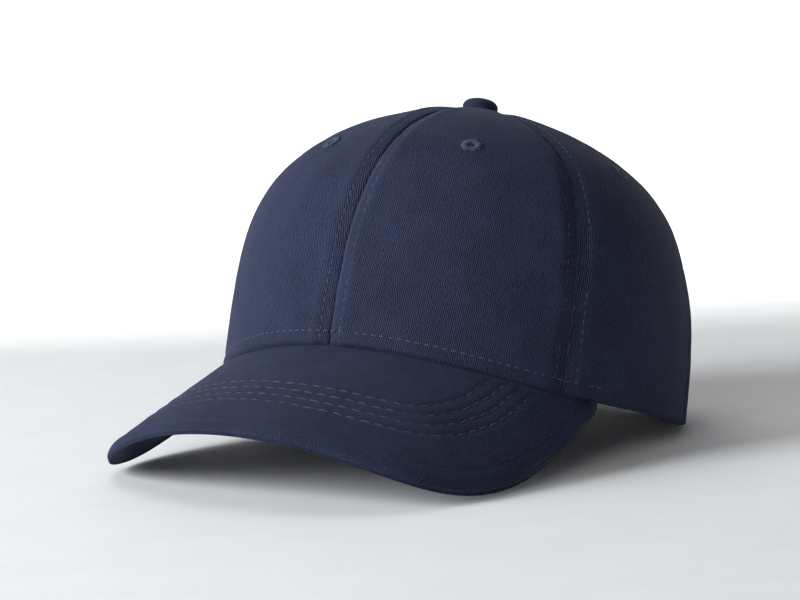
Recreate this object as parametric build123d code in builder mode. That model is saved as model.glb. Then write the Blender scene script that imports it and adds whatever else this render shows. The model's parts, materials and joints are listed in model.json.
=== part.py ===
from build123d import *

import os
from math import atan2, cos, degrees, radians, sin, sqrt, tan

# Six-panel baseball cap with a curved visor and a strap-and-buckle closure, in millimetres.
#
# The pieces are drawn in the crown's own frame: the hem lies in the XY plane round the origin, the
# visor points along -Y, and +Z runs up the crown to its button. save() then stands each piece as the
# cap rests on a table, on the two corners of its visor and on its hem.

# Crown
HEM_RADIUS = 95.0
CROWN_HEIGHT = 120.0
APEX_Y = -8.7  # the panels meet ahead of the hem's centre
WIDTH_CURVE = (4.37, 1.535)  # exponents of the crown's profile, seen from the front
FRONT_CURVE = (3.24, 1.876)  # the same for the forehead, and below for the back
BACK_CURVE = (1.69, 2.333)
SECTION_SHARES = (0, 0.12, 0.25, 0.4, 0.55, 0.7, 0.8, 0.88, 0.94, 0.975, 0.992, 0.998)
SIDE_SEAM = 63.3  # plan angle of a seam from the visor's middle
BACK_SEAM = 114.5
TWILL = 0.9
CLEARANCE = 0.1
BUTTON_HOLE_RADIUS = 1.8

# Hem: level at the sides, following the visor in front, and rising to the closure behind
HEM_RISE = 16.0
HEM_RISE_START_Y = 15.0
BACK_OPENING_HALF_WIDTH = 42.0
BACK_OPENING_SPRING_Z = 14.0
BACK_OPENING_TOP_Z = 62.0

# Visor
VISOR_SLOPE = 32.3
VISOR_ARCH_RADIUS = 107.5
VISOR_MIDDLE_Z = 8.6  # height of its top face where it meets the middle of the forehead
VISOR_HALF_ANGLE = 68.5  # how far round the hem it is sewn, each way
VISOR_LENGTH = 75.0
VISOR_SQUARENESS = 6
VISOR_FAN = 14.0
VISOR_COVER = 0.9
VISOR_BOARD = 1.8
VISOR_RIM = 1.5  # fabric beyond the board's edge
VISOR_END_Y = -HEM_RADIUS * cos(radians(VISOR_HALF_ANGLE))

# Linings: each one's outer and inner depth below the crown's outer face
BUCKRAM_DEPTHS = (1.0, 1.7)
FACING_DEPTHS = (1.0, 1.6)
TAPE_DEPTHS = (1.8, 2.4)
SWEATBAND_DEPTHS = (5.2, 6.4)
TAPE_WIDTH = 12.0
FACING_WIDTH = 8.0
FACING_LOW_Z = 12.8  # just clear of the hem
SWEATBAND_HEIGHT = 34.0

# Eyelets
EYELET_RADIUS = 4.6
EYELET_HOLE_RADIUS = 1.5
EYELET_SHARE = 0.79  # height on the crown
EYELET_PROUD = 0.35

# Button
BUTTON_RADIUS = 7.4
BUTTON_HEIGHT = 5.2
BUTTON_RIM = 1.6

# Closure: angles are measured round the crown's axis from the middle of the back, towards the buckle
STRAP_LOW_Z = 17.5
STRAP_WIDTH = 20.0
STRAP_THICKNESS = 1.0
STRAP_DEPTH = 2.05  # below the crown's outer face, at the sides of the back opening
STRAP_ENDS = (-41.0, 42.5)
BUCKLE_ENDS = (9.0, 22.2)
PIN_ANGLE = 20.0
PIN_OUT = 2.1  # the pin's axis, outward from the strap's outer face
PIN_RADIUS = 0.7
PIN_RUNNING_CLEARANCE = 0.05

# How the cap stands
LEAN = 17.19
HEM_LIFT = 13.58
HEM_BACK = 32.85  # so that the cap's whole length is centred on the origin

STANDING = Location((0, HEM_BACK, HEM_LIFT), (-LEAN, 0, 0))
BIG = 400.0


def save(piece, name):
    """Labels a piece, stands it on the table and writes its STEP file."""
    piece.part.label = name
    export_step(STANDING * piece.part, f"parts/{name}.step")


def profile(share, curve):
    """How much of its hem radius the crown still has at a share of its height."""
    power, root = curve
    return (1 - share**power) ** (1 / root)


def crown_section(share, depth=0.0):
    """(half width, half length, middle y, z) of the crown's level section, depth below its outer face."""
    front = (HEM_RADIUS + APEX_Y - depth) * profile(share, FRONT_CURVE)
    back = (HEM_RADIUS - APEX_Y - depth) * profile(share, BACK_CURVE)
    half_width = (HEM_RADIUS - depth) * profile(share, WIDTH_CURVE)
    return half_width, (front + back) / 2, APEX_Y + (back - front) / 2, share * (CROWN_HEIGHT - depth)


def crown_point(angle, share):
    """Point on the crown's outer face at a plan angle round its apex, from the visor's middle."""
    half_width, half_length, middle_y, z = crown_section(share)
    across = sin(radians(angle))
    along = -cos(radians(angle))
    shift = APEX_Y - middle_y
    a = (across / half_width) ** 2 + (along / half_length) ** 2
    b = along * shift / half_length**2
    c = (shift / half_length) ** 2 - 1
    reach = (-b + sqrt(b * b - a * c)) / a
    return Vector(reach * across, APEX_Y + reach * along, z)


def crown_plane(angle, share):
    """Plane on the crown's outer face, its normal pointing outward."""
    step = 0.01
    round_it = crown_point(angle + 1, share) - crown_point(angle - 1, share)
    up_it = crown_point(angle, share + step) - crown_point(angle, share - step)
    return Plane(origin=crown_point(angle, share), z_dir=round_it.cross(up_it))


def visor_z(y):
    """Height of the visor's top face along its middle."""
    return VISOR_MIDDLE_Z + tan(radians(VISOR_SLOPE)) * (y + HEM_RADIUS)


def visor_edge(share, margin=0.0):
    """Plan point on the visor's outer edge, from one end at -1 to the other at 1."""
    around = radians((VISOR_HALF_ANGLE - degrees(margin / HEM_RADIUS)) * share)
    forward = VISOR_LENGTH * cos(radians(VISOR_SLOPE)) - margin
    reach = forward * (1 - abs(share) ** VISOR_SQUARENESS)
    fan = radians(VISOR_FAN * share)
    return (HEM_RADIUS * sin(around) + reach * sin(fan), -HEM_RADIUS * cos(around) - reach * cos(fan))


def make_dome(depth):
    """The solid that fills the crown, to a depth below its outer face."""
    with BuildPart() as dome:
        for share in SECTION_SHARES:
            half_width, half_length, middle_y, z = crown_section(share, depth)
            with BuildSketch(Plane.XY.offset(z)):
                with BuildLine():
                    EllipticalCenterArc((0, middle_y), half_width, half_length, -90, arc_size=180)
                    EllipticalCenterArc((0, middle_y), half_width, half_length, 90, arc_size=180)
                make_face()
        loft()
    return dome.part


def make_shell(depths):
    """A layer of the crown between two depths."""
    outer = make_dome(depths[0])
    inner = make_dome(depths[1])
    with BuildPart() as shell:
        add(outer)
        add(inner, mode=Mode.SUBTRACT)
    return shell.part


def make_hem_cutter():
    """Everything below the hem's line."""
    slope = radians(VISOR_SLOPE)
    rise_end_y = HEM_RADIUS + 15
    rise_end_z = HEM_RISE * ((rise_end_y - HEM_RISE_START_Y) / (HEM_RADIUS - HEM_RISE_START_Y)) ** 2
    with BuildPart() as cutter:
        with BuildSketch(Plane.XZ.offset(-VISOR_END_Y)):
            with Locations((0, visor_z(VISOR_END_Y) - VISOR_ARCH_RADIUS)):
                Circle(VISOR_ARCH_RADIUS)
            with Locations((0, -10)):
                Rectangle(2 * HEM_RADIUS + 8, 120, mode=Mode.INTERSECT)
        extrude(amount=120, dir=(0, -cos(slope), -sin(slope)))
        with BuildSketch(Plane.YZ):
            with BuildLine():
                Bezier(
                    (HEM_RISE_START_Y, 0),
                    ((HEM_RISE_START_Y + rise_end_y) / 2, 0),
                    (rise_end_y, rise_end_z),
                )
                Line((rise_end_y, rise_end_z), (rise_end_y, -10))
                Line((rise_end_y, -10), (HEM_RISE_START_Y, -10))
                Line((HEM_RISE_START_Y, -10), (HEM_RISE_START_Y, 0))
            make_face()
        extrude(amount=HEM_RADIUS + 10, both=True)
    return cutter.part


def make_back_opening(margin):
    """The half-moon opening over the strap, with its edge moved out by a margin."""
    half_width = BACK_OPENING_HALF_WIDTH + margin
    with BuildPart() as opening:
        with BuildSketch(Plane.XZ):
            with Locations((0, BACK_OPENING_SPRING_Z)):
                Ellipse(half_width, BACK_OPENING_TOP_Z - BACK_OPENING_SPRING_Z + margin)
            Rectangle(2 * half_width, 2 * BACK_OPENING_SPRING_Z)
        extrude(amount=-2 * HEM_RADIUS)
    return opening.part


def make_wedge(start, end, margin=0.0):
    """A prism over the plan sector between two angles round the apex, as high as the crown."""
    start += margin
    end -= margin
    turns = [start + (end - start) * i / 3 for i in range(4)]
    corners = [(BIG * sin(radians(t)), APEX_Y - BIG * cos(radians(t))) for t in turns]
    with BuildPart() as wedge:
        with BuildSketch():
            with BuildLine():
                Polyline((0, APEX_Y), *corners, close=True)
            make_face()
        extrude(amount=BIG)
    return wedge.part


def make_slab(angle, start, width):
    """An upright slab that runs out from the apex along a seam."""
    outward = (sin(radians(angle)), -cos(radians(angle)), 0)
    along = Plane(origin=(0, APEX_Y, 0), x_dir=outward, z_dir=(0, 0, 1))
    with BuildPart() as slab:
        with BuildSketch(along):
            with Locations((start, 0)):
                Rectangle(BIG, width, align=(Align.MIN, Align.CENTER))
        extrude(amount=BIG)
    return slab.part


def make_panel(name, start, end, shell, eyelet):
    """One of the crown's six gores, with a hole for its eyelet."""
    wedge = make_wedge(start, end)
    with BuildPart() as panel:
        add(shell)
        add(wedge, mode=Mode.INTERSECT)
        add(hem_cutter, mode=Mode.SUBTRACT)
        add(back_opening, mode=Mode.SUBTRACT)
        with Locations((0, APEX_Y, CROWN_HEIGHT)):
            Cylinder(BUTTON_HOLE_RADIUS, 10, mode=Mode.SUBTRACT)
        with Locations(eyelet):
            Cylinder(EYELET_RADIUS, 10, mode=Mode.SUBTRACT)
    save(panel, name)


def make_eyelet(name, plane):
    """A ring of close stitches round a ventilation hole."""
    with BuildPart() as eyelet:
        with BuildSketch(plane.offset(-TWILL - EYELET_PROUD)):
            Circle(EYELET_RADIUS)
            Circle(EYELET_HOLE_RADIUS, mode=Mode.SUBTRACT)
        extrude(amount=TWILL + 2 * EYELET_PROUD)
        rims = eyelet.edges().filter_by(GeomType.CIRCLE).group_by(SortBy.RADIUS)[-1]
        fillet(rims, EYELET_PROUD)
    save(eyelet, name)


def make_buckram(name, start, end, shell, eyelet):
    """The stiff mesh that backs a front panel."""
    wedge = make_wedge(start, end, margin=1.2)
    with BuildPart() as buckram:
        add(shell)
        add(wedge, mode=Mode.INTERSECT)
        with Locations((0, 0, 12)):
            Box(BIG, BIG, 96, align=(Align.CENTER, Align.CENTER, Align.MIN), mode=Mode.INTERSECT)
        with Locations(eyelet):
            Cylinder(EYELET_RADIUS + EYELET_PROUD, 10, mode=Mode.SUBTRACT)
    save(buckram, name)


def make_tape(name, slab, shell, cuts):
    """The tape that covers a seam inside the crown."""
    with BuildPart() as tape:
        add(shell)
        add(slab, mode=Mode.INTERSECT)
        add(hem_cutter, mode=Mode.SUBTRACT)
        for cut in cuts:
            add(cut, mode=Mode.SUBTRACT)
        with Locations((0, APEX_Y, CROWN_HEIGHT)):
            Cylinder(BUTTON_HOLE_RADIUS, 12, mode=Mode.SUBTRACT)
    save(tape, name)


def make_visor_plate(top, bottom, margin):
    """A curved layer of the visor between two depths below its top face, cut to its outline."""
    slope = radians(VISOR_SLOPE)
    shares = (-1, -0.97, -0.92, -0.84, -0.7, -0.5, -0.25, 0, 0.25, 0.5, 0.7, 0.84, 0.92, 0.97, 1)
    edge = [visor_edge(share, margin) for share in shares]
    with BuildPart() as plate:
        with BuildSketch(Plane.XZ):
            with Locations((0, visor_z(0) - VISOR_ARCH_RADIUS)):
                Circle(VISOR_ARCH_RADIUS - top)
                Circle(VISOR_ARCH_RADIUS - bottom, mode=Mode.SUBTRACT)
            with Locations((0, visor_z(0) - 0.9 * VISOR_ARCH_RADIUS)):
                Rectangle(BIG, VISOR_ARCH_RADIUS * 1.8, align=(Align.CENTER, Align.MIN), mode=Mode.INTERSECT)
        extrude(amount=BIG / 2, dir=(0, -cos(slope), -sin(slope)))
        with BuildSketch(Plane.XY.offset(-BIG / 2)):
            with BuildLine():
                Spline(*edge)
                Polyline(edge[-1], (0, 0), edge[0])
            make_face()
        extrude(amount=BIG, mode=Mode.INTERSECT)
        Cylinder(HEM_RADIUS + CLEARANCE, BIG, mode=Mode.SUBTRACT)
    return plate.part


def strap_radius(z):
    """Radius of the strap's outer face, which leans in with the crown behind it."""
    opening_angle = degrees(atan2(BACK_OPENING_HALF_WIDTH, HEM_RADIUS))
    wall = crown_point(180 - opening_angle, z / CROWN_HEIGHT)
    return sqrt(wall.X**2 + wall.Y**2) - STRAP_DEPTH


STRAP_HIGH_Z = STRAP_LOW_Z + STRAP_WIDTH
STRAP_LEAN = atan2(strap_radius(STRAP_LOW_Z) - strap_radius(STRAP_HIGH_Z), STRAP_WIDTH)
STRAP_MIDDLE = ((strap_radius(STRAP_LOW_Z) + strap_radius(STRAP_HIGH_Z)) / 2, STRAP_LOW_Z + STRAP_WIDTH / 2)


def closure_plane(angle):
    """Plane across the strap: x is outward from the strap's outer face and y is up its width."""
    outward = Vector(sin(radians(angle)), cos(radians(angle)), 0)
    origin = outward * STRAP_MIDDLE[0] + Vector(0, 0, STRAP_MIDDLE[1])
    up = Vector(0, 0, 1) * cos(STRAP_LEAN) - outward * sin(STRAP_LEAN)
    across = outward * cos(STRAP_LEAN) + Vector(0, 0, 1) * sin(STRAP_LEAN)
    return Plane(origin=origin, x_dir=across, z_dir=across.cross(up))


def make_band(ends, outward, upward):
    """A bar that bends round the crown's axis: a rectangle of the closure's plane, from angle to angle."""
    with BuildPart() as band:
        with BuildSketch(closure_plane(ends[0])):
            with Locations(((outward[0] + outward[1]) / 2, (upward[0] + upward[1]) / 2)):
                Rectangle(outward[1] - outward[0], upward[1] - upward[0])
        revolve(axis=Axis.Z, revolution_arc=ends[0] - ends[1])
    return band.part


os.makedirs("parts", exist_ok=True)

hem_cutter = make_hem_cutter()
back_opening = make_back_opening(0)
twill_shell = make_shell((0, TWILL))
buckram_shell = make_shell(BUCKRAM_DEPTHS)
tape_shell = make_shell(TAPE_DEPTHS)
facing_shell = make_shell(FACING_DEPTHS)
sweatband_shell = make_shell(SWEATBAND_DEPTHS)

# Crown panels, each with its eyelet
PANELS = {
    "front": (0, SIDE_SEAM),
    "side": (SIDE_SEAM, BACK_SEAM),
    "back": (BACK_SEAM, 180),
}
for side, sign in (("left", 1), ("right", -1)):
    for place, (near, far) in PANELS.items():
        start, end = sorted((sign * near, sign * far))
        eyelet_plane = crown_plane((start + end) / 2, EYELET_SHARE)
        make_panel(f"{place}_panel_{side}", start, end, twill_shell, eyelet_plane)
        make_eyelet(f"{place}_eyelet_{side}", eyelet_plane)
        if place == "front":
            make_buckram(f"buckram_{side}", start, end, buckram_shell, eyelet_plane)

# Seam tapes: one long one from the forehead to the back opening, and four that stop beside it
centre_slab = make_slab(0, -BIG / 2, TAPE_WIDTH)
make_tape("centre_seam_tape", centre_slab, tape_shell, [make_back_opening(FACING_WIDTH)])
for side, sign in (("left", 1), ("right", -1)):
    for place, angle in (("side", SIDE_SEAM), ("back", BACK_SEAM)):
        seam_slab = make_slab(sign * angle, 16, TAPE_WIDTH)
        make_tape(f"{place}_seam_tape_{side}", seam_slab, tape_shell, [centre_slab])

# Sweatband, open behind
with BuildPart() as sweatband:
    add(sweatband_shell)
    Box(BIG, BIG, SWEATBAND_HEIGHT, align=(Align.CENTER, Align.CENTER, Align.MIN), mode=Mode.INTERSECT)
    add(hem_cutter, mode=Mode.SUBTRACT)
    add(back_opening, mode=Mode.SUBTRACT)
save(sweatband, "sweatband")

# Facing that hems the back opening
facing_edge = make_back_opening(FACING_WIDTH)
with BuildPart() as facing:
    add(facing_shell)
    add(facing_edge, mode=Mode.INTERSECT)
    add(back_opening, mode=Mode.SUBTRACT)
    with Locations((0, 0, FACING_LOW_Z)):
        Box(BIG, BIG, BIG, align=(Align.CENTER, Align.CENTER, Align.MIN), mode=Mode.INTERSECT)
save(facing, "back_opening_facing")

# Visor: a board between two covers that meet round its rim
visor_thickness = 2 * VISOR_COVER + VISOR_BOARD
board_plate = make_visor_plate(VISOR_COVER, VISOR_COVER + VISOR_BOARD, VISOR_RIM)
upper_plate = make_visor_plate(0, visor_thickness / 2, 0)
lower_plate = make_visor_plate(visor_thickness / 2, visor_thickness, 0)
with BuildPart() as visor_board:
    add(board_plate)
save(visor_board, "visor_board")
with BuildPart() as visor_top_cover:
    add(upper_plate)
    add(board_plate, mode=Mode.SUBTRACT)
save(visor_top_cover, "visor_top_cover")
with BuildPart() as visor_under_cover:
    add(lower_plate)
    add(board_plate, mode=Mode.SUBTRACT)
save(visor_under_cover, "visor_under_cover")

# Button: a fabric-covered metal cap, riveted through the crown to a washer inside
button_base = Plane(origin=(0, APEX_Y, CROWN_HEIGHT + CLEARANCE))
button_axis = Axis((0, APEX_Y, 0), (0, 0, 1))


def make_button_layer(name, depth, thickness):
    """A domed cap, open below, whose outer face is a depth inside the button's."""
    layers = [(BUTTON_RADIUS - d, BUTTON_HEIGHT - d, BUTTON_RIM - d / 2) for d in (depth, depth + thickness)]
    with BuildPart() as layer:
        for (radius, height, rim), mode in zip(layers, (Mode.ADD, Mode.SUBTRACT)):
            with BuildSketch(Plane(origin=button_base.origin, x_dir=(1, 0, 0), z_dir=(0, -1, 0))):
                with BuildLine():
                    Polyline((0, height), (0, 0), (radius, 0), (radius, rim))
                    shoulder = (0.72 * radius, 0.84 * height)
                    Spline((radius, rim), shoulder, (0, height), tangents=[(0, 1), (-1, 0)])
                make_face()
            revolve(axis=button_axis, mode=mode)
    save(layer, name)


make_button_layer("button_cover", 0, 0.8)
make_button_layer("button_shell", 0.9, 0.5)

WASHER_Z = CROWN_HEIGHT - TAPE_DEPTHS[1] - 1.6
with BuildPart() as button_rivet:
    with BuildSketch(Plane.XY.offset(WASHER_Z - 0.6)):
        with Locations((0, APEX_Y)):
            Circle(1.6)
    extrude(amount=CROWN_HEIGHT + 3.0 - WASHER_Z)
    with BuildSketch(Plane.XY.offset(CROWN_HEIGHT + 0.9)):
        with Locations((0, APEX_Y)):
            Circle(4.5)
    extrude(amount=0.8)
    with BuildSketch(Plane.XY.offset(WASHER_Z - 1.2)):
        with Locations((0, APEX_Y)):
            Circle(2.6)
    extrude(amount=0.6)
save(button_rivet, "button_rivet")

with BuildPart() as button_washer:
    with BuildSketch(Plane.XY.offset(WASHER_Z - 0.6)):
        with Locations((0, APEX_Y)):
            Circle(6)
            Circle(1.6, mode=Mode.SUBTRACT)
    extrude(amount=0.6)
save(button_washer, "button_washer")

# Strap: sewn in on one side, through the buckle, its tail tucked behind the other panel
with BuildPart() as strap:
    add(make_band(STRAP_ENDS, (-STRAP_THICKNESS, 0), (-STRAP_WIDTH / 2, STRAP_WIDTH / 2)))
save(strap, "strap")

# Buckle
BASE_OUTWARD = (-2.85, -2.15)
BASE_HALF_HEIGHT = 11.8
EAR = 0.8
EAR_ENDS = (PIN_ANGLE - 1.7, PIN_ANGLE + 1.7)
SLOT_ENDS = (20.0, 21.1)
SLOT_HALF_HEIGHT = 10.0
pin_plane = closure_plane(PIN_ANGLE)
pin_foot = pin_plane.from_local_coords(Vector(PIN_OUT, 0, 0))
pin_across = Plane(origin=pin_foot, x_dir=pin_plane.x_dir, z_dir=pin_plane.y_dir)

with BuildPart() as buckle_base:
    add(make_band(BUCKLE_ENDS, BASE_OUTWARD, (-BASE_HALF_HEIGHT, BASE_HALF_HEIGHT)))
    for low in (-BASE_HALF_HEIGHT, BASE_HALF_HEIGHT - EAR):
        add(make_band(EAR_ENDS, (BASE_OUTWARD[0], PIN_OUT + 1.3), (low, low + EAR)))
    add(make_band(SLOT_ENDS, (-4, -2), (-SLOT_HALF_HEIGHT, SLOT_HALF_HEIGHT)), mode=Mode.SUBTRACT)
    with Locations(pin_across):
        Cylinder(PIN_RADIUS, 3 * BASE_HALF_HEIGHT, mode=Mode.SUBTRACT)
save(buckle_base, "buckle_base")

with BuildPart() as buckle_pin:
    with BuildSketch(pin_across.offset(-BASE_HALF_HEIGHT - 0.5)):
        Circle(PIN_RADIUS)
    extrude(amount=2 * BASE_HALF_HEIGHT + 1)
    for start in (-BASE_HALF_HEIGHT - 0.5, BASE_HALF_HEIGHT):
        with BuildSketch(pin_across.offset(start)):
            Circle(PIN_RADIUS + 0.4)
        extrude(amount=0.5)
save(buckle_pin, "buckle_pin")

LEVER_HALF_HEIGHT = 10.6
LEVER_OUTWARD = (1.7, 2.5)
LEVER_ENDS = (BUCKLE_ENDS[0] + 0.2, PIN_ANGLE - 0.3)
LEVER_BARREL_RADIUS = 1.4
LIP_ENDS = (PIN_ANGLE - 1.6, PIN_ANGLE - 1.0)
LIP_OUTWARD = (0.35, LEVER_OUTWARD[0])
LIP_HALF_HEIGHT = 9.0
with BuildPart() as buckle_lever:
    add(make_band(LEVER_ENDS, LEVER_OUTWARD, (-LEVER_HALF_HEIGHT, LEVER_HALF_HEIGHT)))
    add(make_band(LIP_ENDS, LIP_OUTWARD, (-LIP_HALF_HEIGHT, LIP_HALF_HEIGHT)))
    with Locations(pin_across):
        Cylinder(LEVER_BARREL_RADIUS, 2 * LEVER_HALF_HEIGHT)
        Cylinder(PIN_RADIUS + PIN_RUNNING_CLEARANCE, 3 * LEVER_HALF_HEIGHT, mode=Mode.SUBTRACT)
save(buckle_lever, "buckle_lever")

# Loop that holds the buckle: through its slot, and sewn in behind the panel
LOOP_HALF_HEIGHT = 9.5
LOOP_LEAVES = (
    ((20.3, 37.0), (-1.95, -1.35)),
    ((20.3, 20.8), (-3.55, -1.35)),
    ((20.3, 25.3), (-3.55, -2.95)),
)
with BuildPart() as buckle_loop:
    for ends, outward in LOOP_LEAVES:
        add(make_band(ends, outward, (-LOOP_HALF_HEIGHT, LOOP_HALF_HEIGHT)))
save(buckle_loop, "buckle_loop")
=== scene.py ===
"""Looks of the baseball cap: twill panels, sewn seams, stitched visor, button, eyelets, linings and buckle.

Shapes are worked out in millimetres in the crown's own frame, with the hem's centre at the origin, the
visor towards -Y and the button up +Z. stand() turns them into metres in the row's frame.
"""

import json
import math

import bmesh
import bpy
import numpy as np
from mathutils import Matrix, Vector, kdtree


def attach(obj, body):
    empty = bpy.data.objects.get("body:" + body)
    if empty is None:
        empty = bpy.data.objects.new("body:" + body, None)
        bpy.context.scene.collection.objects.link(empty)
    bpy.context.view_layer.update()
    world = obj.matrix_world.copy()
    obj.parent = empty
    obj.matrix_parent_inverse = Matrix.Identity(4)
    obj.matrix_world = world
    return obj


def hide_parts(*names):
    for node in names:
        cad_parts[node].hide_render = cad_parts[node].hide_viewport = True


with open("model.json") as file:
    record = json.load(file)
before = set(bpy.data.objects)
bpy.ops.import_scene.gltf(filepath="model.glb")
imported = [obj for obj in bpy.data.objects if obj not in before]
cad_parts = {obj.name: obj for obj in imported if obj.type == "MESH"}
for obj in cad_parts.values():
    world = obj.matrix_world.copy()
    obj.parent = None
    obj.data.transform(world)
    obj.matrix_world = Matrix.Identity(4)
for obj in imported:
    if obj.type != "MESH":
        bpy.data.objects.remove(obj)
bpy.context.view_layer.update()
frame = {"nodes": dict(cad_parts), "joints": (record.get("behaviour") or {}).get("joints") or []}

# Crown, in millimetres and degrees
HEM_RADIUS = 95.0
CROWN_HEIGHT = 120.0
APEX_Y = -8.7
CROWN_MIDDLE = np.array([0.0, APEX_Y, 40.0])
DEGREE = 1.6  # length of a degree round the hem
WIDTH_CURVE = (4.37, 1.535)
FRONT_CURVE = (3.24, 1.876)
BACK_CURVE = (1.69, 2.333)
TOP_SHARE = 0.9985
SIDE_SEAM = 63.3
BACK_SEAM = 114.5
HEM_RISE = 16.0
HEM_RISE_START_Y = 15.0
OPENING_HALF_WIDTH = 42.0
OPENING_CORNER_Y = 85.0
OPENING_SPRING_Z = 14.0
OPENING_TOP_Z = 62.0

# Visor
VISOR_SLOPE = 32.3
VISOR_ARCH_RADIUS = 107.5
VISOR_MIDDLE_Z = 8.6
VISOR_HALF_ANGLE = 68.5
VISOR_LENGTH = 75.0
VISOR_SQUARENESS = 6
VISOR_FAN = 14.0
VISOR_THICKNESS = 3.6
VISOR_COVER = 0.6  # thickness of each cover's cloth
VISOR_SEWN = 2.4  # from the hem in to the covers' sewn edge
VISOR_NOSE = 2.2  # from the visor's edge in to where its faces are flat
VISOR_GROOVE = 0.66  # share of the way down the visor's edge where its covers meet
VISOR_ROWS = (24.0, 29.6, 35.2, 40.8)  # distances of the stitch rows from the visor's edge

# Sewing
STITCH_RINGS = 7
STITCH_SIDES = 6
SEAM_STITCH = 4.6  # from a crown seam to the stitch row each side
HEM_STITCH = 5.7  # from the visor seam up to its stitch row
VALLEY_DEPTH = -1.25  # of the panels' outer faces, beside a seam
VALLEY_WIDTH = 5.6
CROWN_PITCH = 3.7
OPENING_ROWS = (2.0, 7.0)  # from the back opening's arch to its stitch rows
VISOR_PITCH = 5.8
FINE_PITCH = 3.6
TAPE_PITCH = 3.4
SEAM_FADE = (5, 26)  # distances from the apex over which a seam's relief deepens
EYELET_SHARE = 0.79
SWEATBAND_TOP = 34.0
TAPE_WIDTH = 12.0

# The photograph's view, in the row's frame
VIEW_AZIMUTH = 32.7
VIEW_ELEVATION = 7.1
VIEW_ROLL = -2.0
VIEW_DISTANCE = 1.358
VIEW_TARGET = Vector((0.0, 0.0491, 0.0661))
VIEW_ASIDE = (0.08875, 0.037)  # how far right and up of the middle the target lies, in widths of the view
VIEW_FOCAL = 4.12375  # focal length in widths of the sensor

rng = np.random.default_rng(7)
strap_joint = next(joint for joint in frame["joints"] if joint["name"] == "strap_adjust")
CROWN_ORIGIN = np.array(strap_joint["pos_m"])
LEAN_SIN, LEAN_COS = strap_joint["axis"][1], strap_joint["axis"][2]


# ---- shape of the cap


def stand(points):
    """Crown-frame millimetres to row-frame metres."""
    x, y, z = np.moveaxis(np.asarray(points, float), -1, 0)
    turned = np.stack([x, y * LEAN_COS + z * LEAN_SIN, z * LEAN_COS - y * LEAN_SIN], -1)
    return CROWN_ORIGIN + turned / 1000


def profile(share, curve):
    return np.clip(1 - np.clip(share, 0, 1) ** curve[0], 0, 1) ** (1 / curve[1])


def section(share, depth=0.0):
    """Half width, half length and middle y of the crown's level section at a share of its height."""
    front = (HEM_RADIUS + APEX_Y - depth) * profile(share, FRONT_CURVE)
    back = (HEM_RADIUS - APEX_Y - depth) * profile(share, BACK_CURVE)
    width = (HEM_RADIUS - depth) * profile(share, WIDTH_CURVE)
    return width, (front + back) / 2, APEX_Y + (back - front) / 2


def reach(angle, share, depth=0.0):
    """Distance from the apex's vertical to the crown at a plan angle, from the visor's middle."""
    width, length, middle = section(share, depth)
    across = np.sin(np.radians(angle))
    along = -np.cos(np.radians(angle))
    shift = APEX_Y - middle
    a = (across / width) ** 2 + (along / length) ** 2
    b = along * shift / length**2
    c = (shift / length) ** 2 - 1
    return (-b + np.sqrt(b * b - a * c)) / a


def crown(angle, share, depth=0.0):
    angle, share = np.broadcast_arrays(np.asarray(angle, float), np.asarray(share, float))
    out = reach(angle, share, depth)
    x = out * np.sin(np.radians(angle))
    y = APEX_Y - out * np.cos(np.radians(angle))
    return np.stack([x, y, share * (CROWN_HEIGHT - depth)], -1)


def crown_normal(angle, share):
    step = 0.0005
    low = np.clip(np.asarray(share, float) - step, 0, 1)
    round_it = crown(angle + 0.5, share) - crown(angle - 0.5, share)
    up_it = crown(angle, np.clip(low + 2 * step, 0, 0.9995)) - crown(angle, low)
    return unit(np.cross(round_it, up_it))


def visor_top(x, y):
    arch = VISOR_ARCH_RADIUS - np.sqrt(np.clip(VISOR_ARCH_RADIUS**2 - x**2, 0, None))
    return VISOR_MIDDLE_Z + math.tan(math.radians(VISOR_SLOPE)) * (y + HEM_RADIUS) - arch


def hem_z(x, y):
    """Height of the crown's lower edge over a plan point on its hem."""
    visor_end = -HEM_RADIUS * math.cos(math.radians(VISOR_HALF_ANGLE))
    rise = HEM_RISE * (np.clip(y - HEM_RISE_START_Y, 0, None) / (HEM_RADIUS - HEM_RISE_START_Y)) ** 2
    return np.where(y < visor_end, np.maximum(visor_top(x, y), 0), rise)


def rising_shares(low, high, count):
    """Height shares from low to high, closer together towards the top."""
    return 1 - np.linspace((1 - low) ** 0.5, (1 - high) ** 0.5, count) ** 2


def hem_share(angle):
    share = np.zeros_like(np.asarray(angle, float))
    for _ in range(3):
        foot = crown(angle, share)
        share = hem_z(foot[..., 0], foot[..., 1]) / CROWN_HEIGHT
    return share


def seam_foot(angle):
    return float(hem_share(np.array([float(angle)]))[0])


def smooth_step(value, low, high):
    t = np.clip((value - low) / (high - low), 0, 1)
    return t * t * (3 - 2 * t)


def bell(value, middle, width):
    """A smooth hump, 1 high where the value is at its middle."""
    return np.exp(-(((value - middle) / width) ** 2))


def crowd_ends(share, amount):
    """Even shares from 0 to 1, drawn closer together towards both ends."""
    return share - amount * np.sin(2 * np.pi * share) / (2 * np.pi)


def unit(vectors):
    return vectors / np.linalg.norm(vectors, axis=-1, keepdims=True)


def run_length(path):
    """Distance from the start of a path to each of its points."""
    return np.concatenate([[0], np.cumsum(np.linalg.norm(np.diff(path, axis=0), axis=1))])


def resample(points, count):
    """The columns of a list of points, filled in evenly between them up to a count."""
    points = np.array(points)
    steps = np.linspace(0, len(points) - 1, count)
    return [np.interp(steps, range(len(points)), column) for column in points.T]


def ripple(along, across, size, seed):
    """Smooth unevenness between -1 and 1, from a few waves of about one size."""
    waves = np.random.default_rng(seed)
    total = np.zeros(np.broadcast(along, across).shape)
    for _ in range(6):
        heading = waves.uniform(0, 2 * np.pi)
        length = size * waves.uniform(0.7, 1.6)
        phase = waves.uniform(0, 2 * np.pi)
        travel = along * np.cos(heading) + across * np.sin(heading)
        total = total + np.sin(2 * np.pi * travel / length + phase)
    return total / 4


# ---- meshes


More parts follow.
